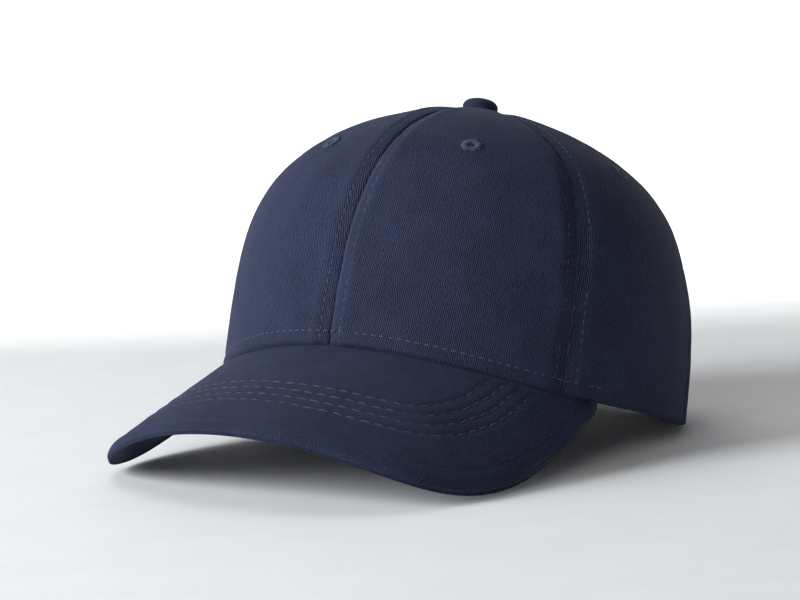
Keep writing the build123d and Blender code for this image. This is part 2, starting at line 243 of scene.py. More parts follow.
def link_object(name, data):
    piece = bpy.data.objects.new(name, data)
    bpy.context.scene.collection.objects.link(piece)
    return piece


def build(name, points, faces, material, uv):
    """A mesh object from crown-frame points, with one fabric coordinate per point in its UV map."""
    mesh = bpy.data.meshes.new(name)
    mesh.from_pydata(stand(points).tolist(), [], faces)
    mesh.validate()
    layer = mesh.uv_layers.new(name="fabric")
    corner = np.empty(len(mesh.loops), np.int32)
    mesh.loops.foreach_get("vertex_index", corner)
    layer.data.foreach_set("uv", (np.asarray(uv) / 1000)[corner].astype(np.float32).ravel())
    mesh.polygons.foreach_set("use_smooth", np.full(len(mesh.polygons), True))
    mesh.materials.append(material)
    return link_object(name, mesh)


def grid_faces(rows, columns, start=0, flip=False):
    first = start + (np.arange(rows - 1)[:, None] * columns + np.arange(columns - 1)[None, :]).ravel()
    quads = np.stack([first, first + 1, first + columns + 1, first + columns], -1)
    return (quads[:, ::-1] if flip else quads).tolist()


def shell(name, outer, inner, fabric, material):
    """A closed sheet between two grids of points, joined along their four borders."""
    rows, columns = outer.shape[:2]
    count = rows * columns
    index = np.arange(count).reshape(rows, columns)
    border = np.concatenate([index[0], index[1:, -1], index[-1, -2::-1], index[-2:0:-1, 0]])
    following = np.roll(border, -1)
    walls = np.stack([following, border, border + count, following + count], -1).tolist()
    faces = grid_faces(rows, columns) + grid_faces(rows, columns, count, flip=True) + walls
    points = np.concatenate([outer.reshape(-1, 3), inner.reshape(-1, 3)])
    uv = np.concatenate([fabric.reshape(-1, 2)] * 2)
    return build(name, points, faces, material, uv)


def place(piece, slot, body, *nodes):
    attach(piece, body)
    if nodes:
        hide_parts(*nodes)
    return piece


def stitch_faces(start, flip=False):
    """Faces of one stitch, a closed tube whose rings of points follow one another from a start."""
    faces = []
    for ring in range(STITCH_RINGS - 1):
        for turn in range(STITCH_SIDES):
            a = start + ring * STITCH_SIDES + turn
            b = start + ring * STITCH_SIDES + (turn + 1) % STITCH_SIDES
            quad = (a, b, b + STITCH_SIDES, a + STITCH_SIDES)
            faces.append((quad[0], *quad[:0:-1]) if flip else quad)
    end = start + STITCH_RINGS * STITCH_SIDES
    caps = (tuple(range(start + STITCH_SIDES - 1, start - 1, -1)), tuple(range(end - STITCH_SIDES, end)))
    faces.extend(cap[::-1] if flip else cap for cap in caps)
    return faces


def sew(name, rows, body="crown", radius=0.3, sink=0.12):
    """One mesh of separate stitches. Each row is (points, normals, pitch, filled share of the pitch)."""
    points, faces, uv = [], [], []
    for path, normals, pitch, filled in rows:
        lengths = run_length(path)
        for number in range(int(lengths[-1] / pitch)):
            middle = (number + 0.5) * pitch + rng.uniform(-0.05, 0.05) * pitch
            half = 0.5 * filled * pitch * rng.uniform(0.92, 1.05)
            reached = (middle - half, middle + half)
            ends = np.array([np.interp(reached, lengths, path[:, k]) for k in range(3)]).T
            normal = np.array([np.interp(middle, lengths, normals[:, k]) for k in range(3)])
            normal /= np.linalg.norm(normal)
            centre = (ends[0] + ends[1]) / 2
            along = (ends[1] - ends[0]) / 2
            side = np.cross(normal, along)
            side /= np.linalg.norm(side)
            along = along + side * rng.uniform(-0.05, 0.05) * np.linalg.norm(along)
            thick = radius * rng.uniform(0.9, 1.1)
            faces.extend(stitch_faces(len(points)))
            for ring in range(STITCH_RINGS):
                t = -1 + 2 * ring / (STITCH_RINGS - 1)
                width = thick * math.sqrt(max(1 - abs(t) ** 3, 0.06))
                lift = thick * 0.55 - sink - (thick + 0.1) * abs(t) ** 3
                for turn in range(STITCH_SIDES):
                    angle = 2 * math.pi * turn / STITCH_SIDES
                    offset = side * math.cos(angle) * width + normal * (math.sin(angle) * width * 0.8 + lift)
                    points.append(centre + along * t + offset)
                    uv.append((t * 1.5, turn * 0.3))
    piece = build(name, np.array(points), faces, thread, np.array(uv))
    return place(piece, "embroidery_thread", body)


# ---- materials


class Nodes:
    """A material's node tree, with a short way to add and join nodes."""

    def __init__(self, name):
        self.material = bpy.data.materials.new(name)
        self.material.use_nodes = True
        self.tree = self.material.node_tree
        self.shader = self.tree.nodes["Principled BSDF"]

    def add(self, kind, **inputs):
        node = self.tree.nodes.new(kind)
        for key, value in inputs.items():
            self.set(node, key, value)
        return node

    def set(self, node, key, value):
        if hasattr(node, key) and key not in node.inputs:
            setattr(node, key, value)
        elif isinstance(value, bpy.types.NodeSocket):
            self.tree.links.new(value, node.inputs[key])
        else:
            node.inputs[key].default_value = value

    def math(self, operation, *values):
        node = self.add("ShaderNodeMath", operation=operation)
        for socket, value in zip(node.inputs, values):
            if isinstance(value, bpy.types.NodeSocket):
                self.tree.links.new(value, socket)
            else:
                socket.default_value = value
        return node.outputs[0]

    def blend(self, *terms):
        """The sum of values that are each given with a weight."""
        scaled = [self.math("MULTIPLY", value, weight) for value, weight in terms]
        total = scaled[0]
        for value in scaled[1:]:
            total = self.math("ADD", total, value)
        return total

    def scaled(self, value, scale, base):
        return self.math("ADD", self.math("MULTIPLY", value, scale), base)

    def swing(self, value, size):
        """A value from 0 to 1 turned into one that swings about 0."""
        return self.math("MULTIPLY", self.math("SUBTRACT", value, 0.5), size)

    def fabric(self):
        """The cloth's two coordinates, together and apart."""
        uv = self.add("ShaderNodeUVMap", uv_map="fabric").outputs["UV"]
        parts = self.add("ShaderNodeSeparateXYZ", Vector=uv)
        return uv, parts.outputs["X"], parts.outputs["Y"]

    def position(self):
        return self.add("ShaderNodeTexCoord").outputs["Object"]

    def surface(self, inputs):
        """Sets the shader's inputs and gives back the material."""
        for key, value in inputs.items():
            self.set(self.shader, key, value)
        return self.material

    def noise(self, vector, scale, detail=3.0, roughness=0.55):
        node = self.add("ShaderNodeTexNoise", Vector=vector, Scale=scale, Detail=detail, Roughness=roughness)
        return node.outputs["Fac"]

    def ramp(self, factor, *stops):
        node = self.add("ShaderNodeValToRGB", Fac=factor)
        band = node.color_ramp
        while len(band.elements) < len(stops):
            band.elements.new(0.5)
        for element, (position, colour) in zip(band.elements, stops):
            element.position = position
            element.color = (*colour, 1)
        return node.outputs["Color"]

    def bump(self, height, distance, strength):
        node = self.add("ShaderNodeBump", Height=height, Distance=distance, Strength=strength)
        return node.outputs["Normal"]


def yarn_wave(nodes, across, pitch, shift):
    """A wave from 0 to 1 every pitch metres of a fabric coordinate."""
    turn = nodes.math("MULTIPLY", nodes.math("ADD", across, shift), 2 * math.pi / pitch)
    return nodes.scaled(nodes.math("SINE", turn), 0.5, 0.5)


def make_twill(name, dark, light, heading, pitch=0.00074, sheen=0.1, grain=1.0):
    """Twill: ribs that run at a heading to the cloth's length, broken into yarns, with slubs and a broad
    mottle.
    """
    n = Nodes(name)
    uv, a, b = n.fabric()
    sine, cosine = math.sin(math.radians(heading)), math.cos(math.radians(heading))
    across = n.blend((a, sine), (b, -cosine))
    along = n.blend((a, cosine), (b, sine))
    wander = n.swing(n.noise(uv, 420.0), 0.0013)
    bend = n.swing(n.noise(uv, 70.0, 1.0), 0.0006)
    wander = n.math("ADD", wander, bend)
    rib = yarn_wave(n, across, pitch, wander)
    yarn = yarn_wave(n, n.math("ADD", along, n.math("MULTIPLY", across, 0.5)), pitch * 1.35, wander)
    slub = n.noise(uv, 900.0, 4.0, 0.7)
    cloud = n.noise(uv, 45.0, 4.0, 0.6)
    weave = n.blend((rib, 0.5), (yarn, 0.1), (slub, 0.45))
    tone = n.blend((weave, 0.75), (cloud, 0.3))
    return n.surface({
        "Base Color": n.ramp(tone, (0.42, dark), (0.66, light)),
        "Roughness": n.scaled(cloud, 0.15, 0.72),
        "Normal": n.bump(weave, 0.0003, grain),
        "Specular IOR Level": 0.12,
        "Sheen Weight": sheen,
        "Sheen Roughness": 0.42,
        "Sheen Tint": (0.45, 0.55, 0.9, 1),
    })


def make_thread(name, dark, light, sheen=0.15):
    """Spun thread: plies that wind round it, a little uneven in colour."""
    n = Nodes(name)
    _, a, b = n.fabric()
    ply = yarn_wave(n, n.math("ADD", a, b), 0.0005, 0.0)
    mottle = n.noise(n.position(), 260.0, 3.0)
    tone = n.blend((ply, 0.4), (mottle, 0.6))
    return n.surface({
        "Base Color": n.ramp(tone, (0.2, dark), (0.8, light)),
        "Normal": n.bump(ply, 0.0001, 0.5),
        "Roughness": n.scaled(mottle, 0.2, 0.5),
        "Specular IOR Level": 0.4,
        "Sheen Weight": sheen,
        "Sheen Roughness": 0.35,
    })


def make_mesh_cloth(name, dark, light):
    """Open stiffened gauze, square woven."""
    n = Nodes(name)
    uv, a, b = n.fabric()
    net = n.math("MAXIMUM", yarn_wave(n, a, 0.0011, 0.0), yarn_wave(n, b, 0.0011, 0.0))
    glue = n.noise(uv, 300.0, 4.0, 0.7)
    tone = n.math("MULTIPLY", net, n.scaled(glue, 0.5, 0.65))
    return n.surface({
        "Base Color": n.ramp(tone, (0.25, dark), (0.9, light)),
        "Roughness": n.scaled(glue, 0.25, 0.6),
        "Normal": n.bump(tone, 0.0003, 0.6),
    })


def make_metal(name, dark, light, roughness):
    """Plated metal with fine brushing, dull spots and worn edges."""
    n = Nodes(name)
    position = n.position()
    stretched = n.add("ShaderNodeMapping", Vector=position, Scale=(1, 1, 12)).outputs["Vector"]
    brush = n.noise(stretched, 700.0, 3.0)
    tarnish = n.noise(position, 160.0, 5.0, 0.65)
    worn = n.swing(n.add("ShaderNodeNewGeometry").outputs["Pointiness"], 3.0)
    return n.surface({
        "Base Color": n.ramp(n.math("ADD", tarnish, worn), (0.35, dark), (0.7, light)),
        "Metallic": 1.0,
        "Roughness": n.scaled(tarnish, 0.25, roughness),
        "Normal": n.bump(brush, 0.00005, 0.35),
    })


def make_matt(name, dark, light, scale, roughness):
    """Moulded plastic or painted board, slightly mottled."""
    n = Nodes(name)
    mottle = n.noise(n.position(), scale, 4.0, 0.6)
    return n.surface({
        "Base Color": n.ramp(mottle, (0.35, dark), (0.65, light)),
        "Roughness": n.scaled(mottle, 0.15, roughness),
        "Normal": n.bump(mottle, 0.0002, 0.3),
    })


NAVY_DARK = (0.003, 0.004, 0.0095)
NAVY_LIGHT = (0.038, 0.048, 0.102)
twill = {
    "left": make_twill("twill_left_panels", NAVY_DARK, NAVY_LIGHT, 84),
    "right": make_twill("twill_right_panels", NAVY_DARK, NAVY_LIGHT, 116),
}
visor_twill = make_twill("twill_visor", NAVY_DARK, NAVY_LIGHT, 92)
lining_twill = make_twill("twill_sweatband", (0.012, 0.014, 0.028), (0.04, 0.047, 0.09), 60, 0.0008)
tape_cloth = make_twill("cotton_tape", (0.014, 0.017, 0.035), (0.05, 0.06, 0.115), 90, 0.0009, grain=0.7)
thread = make_thread("topstitch_thread", (0.02, 0.025, 0.047), (0.066, 0.078, 0.135))
eyelet_thread = make_thread("eyelet_thread", (0.004, 0.007, 0.018), (0.055, 0.09, 0.175), 0.1)
buckram_cloth = make_mesh_cloth("buckram_gauze", (0.02, 0.02, 0.024), (0.16, 0.16, 0.17))
brass = make_metal("antique_brass", (0.2, 0.125, 0.05), (0.55, 0.39, 0.17), 0.25)
steel = make_metal("nickel_plate", (0.3, 0.3, 0.29), (0.62, 0.62, 0.6), 0.2)
board = make_matt("visor_board_plastic", (0.006, 0.006, 0.007), (0.014, 0.014, 0.016), 90.0, 0.5)


# ---- crown panels


def panel_edge(start, end, columns):
    """Angles and height shares along a panel's lower edge, evenly spaced, round the back opening too."""
    inner = np.linspace(0, 1, 400)
    if max(abs(start), abs(end)) < 179:
        angles = start + (end - start) * inner
        shares = hem_share(angles)
    else:
        sign = 1 if start + end > 0 else -1
        corner_z = hem_z(OPENING_HALF_WIDTH, OPENING_CORNER_Y)
        corner = opening_angle(OPENING_HALF_WIDTH, corner_z)
        along_hem = BACK_SEAM + (corner - BACK_SEAM) * inner
        side_z = np.linspace(corner_z, OPENING_SPRING_Z, 10)[1:]
        arch_angle, arch_share = opening_arch(np.radians(np.linspace(0, 90, 400))[1:], 0)
        angles = np.concatenate([along_hem, opening_angle(OPENING_HALF_WIDTH, side_z), arch_angle])
        shares = np.concatenate([hem_share(along_hem), side_z / CROWN_HEIGHT, arch_share])
        angles = sign * angles
        if sign < 0:
            angles, shares = angles[::-1], shares[::-1]
    length = run_length(crown(angles, shares))
    t = crowd_ends(np.linspace(0, 1, columns), 0.55)
    wanted = t * length[-1]
    return t, np.interp(wanted, length, angles), np.interp(wanted, length, shares)


def opening_angle(x, z):
    """Plan angle, round the apex, of the crown's back over a sideways distance at a height."""
    width, length, middle = section(np.asarray(z) / CROWN_HEIGHT)
    y = middle + length * np.sqrt(1 - (x / width) ** 2)
    return np.degrees(np.arctan2(x, APEX_Y - y))


def opening_arch(turn, margin):
    """Plan angle and height share along the back opening's arch, a margin outside it."""
    x = (OPENING_HALF_WIDTH + margin) * np.cos(turn)
    z = OPENING_SPRING_Z + (OPENING_TOP_Z - OPENING_SPRING_Z + margin) * np.sin(turn)
    return opening_angle(x, z), z / CROWN_HEIGHT


def height_scale(angle):
    """Table of distance up the crown against height share, at one plan angle."""
    shares = 1 - np.linspace(1, 0, 600) ** 2.2
    shares = np.clip(shares, 0, TOP_SHARE)
    return run_length(crown(angle, shares)), shares


def search_tree(points):
    tree = kdtree.KDTree(len(points))
    for number, point in enumerate(points):
        tree.insert(point, number)
    tree.balance()
    return tree


def gap_to(tree, points):
    """Distance from each point of a grid to the nearest point in a tree."""
    return np.array([tree.find(point)[2] for point in points.reshape(-1, 3)]).reshape(points.shape[:2])


def seam_relief(gap, up, seed):
    """Outward relief, in millimetres, at a distance from a crown seam."""
    valley = VALLEY_DEPTH * np.clip(1 - gap / VALLEY_WIDTH, 0, 1) ** 1.1
    puff = 0.35 * bell(gap, 7.5, 3.0)
    crease = -0.75 * bell(gap, 0, 0.6)
    row = bell(gap, SEAM_STITCH, 0.8)
    dents = row * (-0.16 + 0.07 * np.cos(2 * np.pi * up / CROWN_PITCH))
    pucker = 0.16 * ripple(up, gap * 0.4, 13.0, seed) * bell(gap, 0, 8.0)
    return valley + puff + crease + dents + pucker


def make_crown_panel(place_name, side, start, end):
    """One gore: puffed cloth that dips into its seams, rolls under at the hem and lies flat inside."""
    columns, rows = 92, 118
    t, edge_angle, edge_share = panel_edge(start, end, columns)
    table_up, table_share = height_scale((start + end) / 2)
    low_up = np.interp(edge_share, table_share, table_up)
    v = crowd_ends(np.linspace(0, 1, rows)[:, None], 0.35)
    up = low_up[None, :] + (table_up[-1] - low_up[None, :]) * v
    share = np.interp(up, table_up, table_share)
    share[0] = edge_share
    even = start + (end - start) * t[None, :]
    angle = edge_angle[None, :] + (even - edge_angle[None, :]) * smooth_step(v, 0, 0.7)
    away = reach(angle, share)
    from_start = np.radians(np.abs(angle - start)) * away
    from_end = np.radians(np.abs(end - angle)) * away
    points = crown(angle, share)
    normals = crown_normal(angle, share)

    gap = gap_to(search_tree(points[0]), points)
    front_hem = smooth_step(HEM_RADIUS * 0.42 - points[..., 1], 40, 62) * (points[..., 1] < -20)
    calm = smooth_step(away, *SEAM_FADE)
    seed = int(abs(start) * 7 + abs(end) * 3 + (11 if side == "left" else 0))
    relief = (seam_relief(from_start, up, seed) + seam_relief(from_end, up, seed + 1)) * calm
    relief = relief + 0.28 * ripple(angle * DEGREE, up, 46.0, seed + 2) * calm
    relief = relief + 0.05 * ripple(angle * DEGREE, up, 9.0, seed + 3)
    band = 0.3 * bell(gap, 2.9, 1.7) - 0.28 * bell(gap, HEM_STITCH, 0.7)
    relief = relief + band * front_hem
    bend = 0.9 + 0.9 * front_hem
    roll = bend - np.sqrt(np.clip(bend**2 - np.clip(bend - gap, 0, None) ** 2, 0, None))
    outer = points + normals * (relief - roll)[..., None]
    turned_in = 0.3 if place_name == "back" else 0.9
    thickness = 0.9 + turned_in * np.exp(-((gap / 5.0) ** 4))
    inside = thickness - np.clip(roll, 0, thickness / 2)
    inner = points - normals * np.maximum(inside, roll + 0.02 - relief)[..., None]
    middle = (start + end) / 2
    fabric = np.stack([np.radians(angle - middle) * away, up], -1)
    name = f"{place_name}_panel_{side}"
    piece = shell(f"{name}_cloth", outer, inner, fabric, twill[side])
    return place(piece, "twill", "crown", name)


def seam_row(angle, offset, low, high=0.985):
    """Path and normals of a stitch row beside a crown seam, from the lower edge up."""
    share = rising_shares(low, high, 160)
    turned = angle + np.degrees(offset / reach(angle, share))
    path = crown(turned, share)
    normals = crown_normal(turned, share)
    relief = VALLEY_DEPTH * max(1 - abs(offset) / VALLEY_WIDTH, 0) ** 1.1 - 0.1
    calm = smooth_step(reach(turned, share), *SEAM_FADE)
    return path + normals * (relief * calm)[:, None], normals


def along_edge(angles, shares, lift):
    """Path and normals of a stitch row a little way up from an edge."""
    path = crown(angles, shares)
    normals = crown_normal(angles, shares)
    return path + normals * lift, normals


SIDES = (("left", 1), ("right", -1))
PANELS = {"front": (0, SIDE_SEAM), "side": (SIDE_SEAM, BACK_SEAM), "back": (BACK_SEAM, 180)}
for side, sign in SIDES:
    for place_name, (near, far) in PANELS.items():
        make_crown_panel(place_name, side, *sorted((sign * near, sign * far)))

rows = []
for seam in (0, SIDE_SEAM, -SIDE_SEAM, BACK_SEAM, -BACK_SEAM, 180):
    for offset in (SEAM_STITCH, -SEAM_STITCH):
        low = seam_foot(seam) + 0.012
        if seam == 180:
            low = (OPENING_TOP_Z + 1) / CROWN_HEIGHT
        path, normals = seam_row(seam, offset, low)
        rows.append((path, normals, CROWN_PITCH, 0.78))
sew("crown_seam_stitches", rows)

turns = np.linspace(-VISOR_HALF_ANGLE - 1, VISOR_HALF_ANGLE + 1, 400)
foot = np.stack([HEM_RADIUS * np.sin(np.radians(turns)), -HEM_RADIUS * np.cos(np.radians(turns))], -1)
foot_angle = np.degrees(np.arctan2(foot[:, 0], APEX_Y - foot[:, 1]))
path, normals = along_edge(foot_angle, hem_share(foot_angle) + HEM_STITCH / CROWN_HEIGHT, -0.15)
sew("visor_seam_stitches", [(path, normals, FINE_PITCH, 0.74)])

turn = np.radians(np.linspace(2, 178, 300))
rows = []
for margin in OPENING_ROWS:
    path, normals = along_edge(*opening_arch(turn, margin), 0.12)
    rows.append((path, normals, CROWN_PITCH, 0.76))
sew("back_opening_stitches", rows)


# ---- eyelets and button


def make_eyelet(name, angle):
    """A ventilation hole worked round with close radial stitches."""
    centre = crown(angle, EYELET_SHARE)
    normal = crown_normal(angle, EYELET_SHARE)
    first = np.cross(normal, (0, 0, 1))
    first /= np.linalg.norm(first)
    second = np.cross(normal, first)
    points, faces, uv = [], [], []
    stitches = 44
    for number in range(stitches):
        turn = 2 * math.pi * (number + rng.uniform(-0.2, 0.2)) / stitches
        out = first * math.cos(turn) + second * math.sin(turn)
        side = np.cross(normal, out)
        inner, outer = 1.35 + rng.uniform(-0.1, 0.1), 4.1 + rng.uniform(-0.5, 0.5)
        faces.extend(stitch_faces(len(points), flip=True))
        for ring in range(STITCH_RINGS):
            t = ring / (STITCH_RINGS - 1)
            away = inner + (outer - inner) * t
            lift = 0.75 * math.sin(math.pi * (0.08 + 0.9 * t)) ** 0.6 - 0.35
            width = 0.36 * (0.55 + 0.45 * t) * math.sqrt(max(1 - abs(2 * t - 1) ** 5, 0.15))
            for corner in range(STITCH_SIDES):
                swing = 2 * math.pi * corner / STITCH_SIDES
                points.append(centre + out * away + side * math.cos(swing) * width
                              + normal * (lift + math.sin(swing) * 0.28))
                uv.append((away, corner * 0.2))
    piece = build(f"{name}_stitching", np.array(points), faces, eyelet_thread, np.array(uv))
    return place(piece, "embroidery_thread", "crown", name)


for side, sign in SIDES:
    for place_name, (near, far) in PANELS.items():
        make_eyelet(f"{place_name}_eyelet_{side}", sign * (near + far) / 2)

BUTTON_RADIUS = 7.4
BUTTON_HEIGHT = 5.2


def make_button():
    """Twill pulled over a domed cap and gathered under its rim."""
    outline = [(0, 1), (0.2, 0.995), (0.4, 0.965), (0.58, 0.905), (0.74, 0.81), (0.87, 0.67), (0.955, 0.5),
               (0.99, 0.33), (0.985, 0.13), (0.95, -0.05), (0.87, -0.17), (0.6, -0.12), (0.3, 0.0)]
    levels, sides = 60, 72
    out, up = resample(outline, levels)
    turn = np.linspace(0, 2 * np.pi, sides, endpoint=False)
    level = np.linspace(0, 1, levels)[:, None]
    gather = 1 - 0.012 * smooth_step(level, 0.5, 0.8) * (1 + np.sin(turn * 16 + np.sin(turn * 3)))
    x = (out * BUTTON_RADIUS)[:, None] * np.cos(turn) * gather
    y = (out * BUTTON_RADIUS)[:, None] * np.sin(turn) * gather
    z = (up * BUTTON_HEIGHT)[:, None] + 0.06 * ripple(x, y, 6.0, 5)
    points = np.stack([x, APEX_Y + y, CROWN_HEIGHT + 0.1 + z], -1)
    index = np.arange(levels * sides).reshape(levels, sides)
    beside = np.roll(index, -1, axis=1)
    faces = np.stack([index[:-1], index[1:], beside[1:], beside[:-1]], -1).reshape(-1, 4).tolist()
    faces.append(index[-1].tolist())
    spread = np.linspace(0, 11, levels)[:, None]
    uv = np.stack([spread * np.cos(turn), spread * np.sin(turn)], -1)
    piece = build("button_cover_cloth", points.reshape(-1, 3), faces, twill["left"], uv.reshape(-1, 2))
    return place(piece, "twill", "crown", "button_cover")


make_button()


# ---- visor


def visor_outline(share, inset=0.0):
    """Plan point on the visor's edge, and the plan direction out of it."""
    def at(s):
        around = np.radians(VISOR_HALF_ANGLE * s)
        forward = VISOR_LENGTH * math.cos(math.radians(VISOR_SLOPE)) * (1 - np.abs(s) ** VISOR_SQUARENESS)
        fan = np.radians(VISOR_FAN * s)
        return np.stack([HEM_RADIUS * np.sin(around) + forward * np.sin(fan),
                         -HEM_RADIUS * np.cos(around) - forward * np.cos(fan)], -1)
    point = at(share)
    tangent = at(np.clip(share + 1e-4, -1, 1)) - at(np.clip(share - 1e-4, -1, 1))
    out = unit(np.stack([tangent[..., 1], -tangent[..., 0]], -1))
    return point - out * inset, out


def visor_point(plan):
    return np.concatenate([plan, visor_top(plan[..., 0], plan[..., 1])[..., None]], -1)


def visor_normal(plan):
    x = plan[..., 0]
    slope = math.tan(math.radians(VISOR_SLOPE))
    fall = x / np.sqrt(VISOR_ARCH_RADIUS**2 - x**2)
    return unit(np.stack([fall, np.full_like(x, -slope), np.ones_like(x)], -1))


def visor_row(distance, shares):
    """Plan points a distance over the visor's face from its edge."""
    edge, out = visor_outline(shares)
    plan = edge.copy()
    gone = np.zeros(len(shares))
    step = 0.5
    for _ in range(200):
        ahead = plan - out * step
        gone_next = gone + np.linalg.norm(visor_point(ahead) - visor_point(plan), axis=-1)
        moving = gone_next <= distance
        plan = np.where(moving[:, None], ahead, plan)
        gone = np.where(moving, gone_next, gone)
    return plan


row_shares = np.linspace(-0.985, 0.985, 500)
stitch_rows = []
for distance in VISOR_ROWS:
    plan = visor_row(distance, row_shares)
    keep = np.linalg.norm(plan, axis=1) > HEM_RADIUS + 1.2
    stitch_rows.append(plan[keep])

row_tree = search_tree(visor_point(np.concatenate(stitch_rows)))


def flat_cloth(plan):
    """Where a plan point of the arched visor falls when its cloth is laid flat."""
    across = VISOR_ARCH_RADIUS * np.arcsin(plan[..., 0] / VISOR_ARCH_RADIUS)
    return np.stack([across, -plan[..., 1] / math.cos(math.radians(VISOR_SLOPE))], -1)


def visor_underside(plan, thickness):
    """Points straight below the visor's top face, through a thickness measured square to it."""
    below = thickness / visor_normal(plan)[..., 2]
    return visor_point(plan) - np.stack([0 * below, 0 * below, below], -1)


def visor_nose(share, steps):
    """The rounded edge between the top and bottom faces, from above down."""
    edge, out = visor_outline(share)
    back = edge - out * VISOR_NOSE
    hull = (visor_point(back), visor_point(edge), visor_underside(edge, VISOR_THICKNESS),
            visor_underside(back, VISOR_THICKNESS))
    t = steps[:, None, None]
    weights = ((1 - t) ** 3, 3 * t * (1 - t) ** 2, 3 * t**2 * (1 - t), t**3)
    rows = sum(weight * corner[None] for weight, corner in zip(weights, hull))
    groove = 1.1 * bell(t, VISOR_GROOVE, 0.06)
    along = np.arange(len(share)) * 1.2
    waves = 0.12 * ripple(along, 0.0, 14.0, 63)[None, :, None]
    outward = np.concatenate([out, np.zeros((len(share), 1))], -1)[None]
    return rows - outward * (groove - waves * 4 * t * (1 - t))


def make_visor():
    """Top and under covers that meet in a groove under the rolled edge."""
    columns = 241
    s = np.linspace(-1, 1, columns)
    s = np.clip(s - 0.28 * np.sin(np.pi * s) / np.pi, -0.9995, 0.9995)
    rim_plan, out = visor_outline(s, VISOR_NOSE)
    around = np.radians(VISOR_HALF_ANGLE * s)
    sewn = (HEM_RADIUS - VISOR_SEWN) * np.stack([np.sin(around), -np.cos(around)], -1)
    w = np.linspace(0, 1, 74)[:, None, None]
    face = sewn[None] * (1 - w) + rim_plan[None] * w
    base = visor_point(face)
    gap = gap_to(row_tree, base)
    calm = smooth_step(1 - w[..., 0], 0, 0.05)
    tuck = np.clip((np.linalg.norm(face, axis=-1) - HEM_RADIUS - 0.6) / 2.0, 0, 1)
    tuck = -0.85 * (1 - np.sqrt(np.clip(1 - (1 - tuck) ** 2, 0, 1)))
    dents = -0.3 * bell(gap, 0, 0.8) + 0.14 * bell(gap, 2.8, 1.6)
    waves = 0.18 * ripple(face[..., 0], face[..., 1], 38.0, 61)
    waves = waves + 0.05 * ripple(face[..., 0], face[..., 1], 8.0, 62)
    from_edge = np.linalg.norm(face - rim_plan[None], axis=-1) + VISOR_NOSE
    rolled = -0.2 * bell(from_edge, 5.4, 1.1)
    relief = (dents + waves + rolled) * calm
    upper = base + visor_normal(face) * (tuck + relief)[..., None]
    lower = visor_underside(face, VISOR_THICKNESS + tuck + relief * 0.8)

    over = np.concatenate([upper[:-1], visor_nose(s, np.linspace(0, VISOR_GROOVE, 14))])
    under = np.concatenate([visor_nose(s, np.linspace(VISOR_GROOVE, 1, 10)), lower[-2::-1]])
    flat = flat_cloth(face)
    for name, outer in (("visor_top_cover", over), ("visor_under_cover", under)):
        steps = np.linalg.norm(np.diff(outer, axis=0), axis=-1)
        gone = np.concatenate([np.zeros((1, columns)), np.cumsum(steps, axis=0)])
        if name == "visor_top_cover":
            start = len(upper) - 1
            turned = flat[-1] + out * (gone[start:] - gone[start])[..., None]
            fabric = np.concatenate([flat[:-1], turned])
        else:
            start = len(under) - len(lower)
            turned = flat[-1] + out * (gone[start] - gone[:start + 1])[..., None]
            fabric = np.concatenate([turned, flat[-2::-1]])
        skin = np.cross(np.gradient(outer, axis=0), np.gradient(outer, axis=1))
        skin /= np.maximum(np.linalg.norm(skin, axis=-1, keepdims=True), 1e-9)
        inner = outer - skin * VISOR_COVER
        piece = shell(f"{name}_cloth", outer[:, ::-1], inner[:, ::-1], fabric[:, ::-1], visor_twill)
        place(piece, "twill", "crown", name)


make_visor()

rows = []
for row in stitch_rows:
    path = visor_point(row)
    normals = visor_normal(row)
    rows.append((path - normals * 0.2, normals, VISOR_PITCH, 0.8))
    below = visor_underside(row, VISOR_THICKNESS - 0.15)
    rows.append((below[::-1], -normals[::-1], VISOR_PITCH, 0.8))
sew("visor_stitches", rows, radius=0.32)


# ---- linings


def crown_share_at(points, depth):
    """How far points lie outside (above 1) or inside (below 1) the crown at a depth."""
    share = np.clip(points[..., 2] / (CROWN_HEIGHT - depth), 0, 0.99999)
    width, length, middle = section(share, depth)
    return (points[..., 0] / width) ** 2 + ((points[..., 1] - middle) / length) ** 2


def onto_crown(points, depth):
    """Moves points straight out from the middle of the crown until they meet it at a depth."""
    toward = points - CROWN_MIDDLE
    low, high = np.full(points.shape[:-1], 0.3), np.full(points.shape[:-1], 1.6)
    for _ in range(40):
        half = (low + high) / 2
        tried = CROWN_MIDDLE + toward * half[..., None]
        inside = (crown_share_at(tried, depth) < 1) & (tried[..., 2] < CROWN_HEIGHT - depth)
        low, high = np.where(inside, half, low), np.where(inside, high, half)
    return CROWN_MIDDLE + toward * low[..., None]


def make_tape(name, path, seed):
    """A folded cotton tape along a seam, a little crowned, with both edges sewn down."""
    s = np.linspace(-1, 1, 19)
    side = unit(np.cross(unit(np.gradient(path, axis=0)), path - CROWN_MIDDLE))
    wide = path[:, None] + side[:, None] * (s * TAPE_WIDTH / 2)[None, :, None]
    up = run_length(path)
    crowned = 0.75 * (1 - s**4)[None, :] - 0.35 * bell(np.abs(s), 0.8, 0.06)[None, :]
    crowned = crowned + 0.12 * ripple(up[:, None], s[None, :] * 6, 11.0, seed)
    face = onto_crown(wide, 1.9)
    inward = unit(CROWN_MIDDLE - face)
    inner_face = face + inward * crowned[..., None]
    back_face = onto_crown(wide, 1.6)
    fabric = np.stack(np.broadcast_arrays(s[None] * TAPE_WIDTH / 2, up[:, None]), -1)
    piece = shell(f"{name}_cloth", inner_face[:, ::-1], back_face[:, ::-1], fabric[:, ::-1], tape_cloth)
    place(piece, "cotton_tape", "crown", name)
    return [(inner_face[:, column], inward[:, column], TAPE_PITCH, 0.74) for column in (2, 16)]


def seam_path(angle, low, high):
    return crown(angle, rising_shares(low, high, 90), 1.7)


